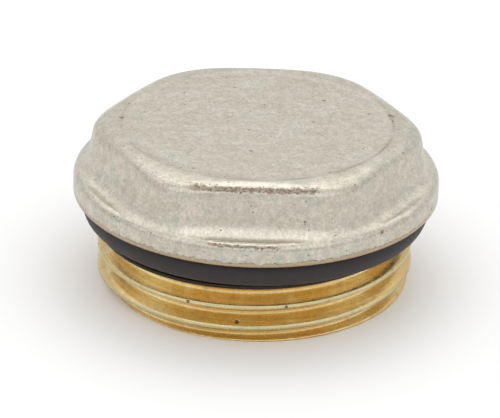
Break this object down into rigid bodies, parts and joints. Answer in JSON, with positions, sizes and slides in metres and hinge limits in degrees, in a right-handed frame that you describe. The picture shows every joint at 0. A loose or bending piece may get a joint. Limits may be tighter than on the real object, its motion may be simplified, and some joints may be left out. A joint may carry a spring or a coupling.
{
  "type": "blanking plug",
  "caption": "Pipe blanking plug: drafted hexagon head with a round land, round flange, rubber sealing ring and a short hollow spigot for a male parallel thread.",
  "frame": {"origin": "centre of the thread's axis in the plane of the thread end, which the plug stands on", "axes": "+Z along the thread's axis from the thread end to the head; -Y faces the viewer, with one flat of the hexagon turned about one degree from it; +X to the viewer's right"},
  "size_m": [0.0381, 0.038, 0.0173],
  "materials": {
    "plug_body": "satin nickel plate on the forged head and flange, bare machined brass below them",
    "sealing_ring": "smooth black moulded rubber"
  },
  "bodies": {
    "root": {"plug_body": "plug_body", "sealing_ring": "sealing_ring"}
  },
  "joints": []
}
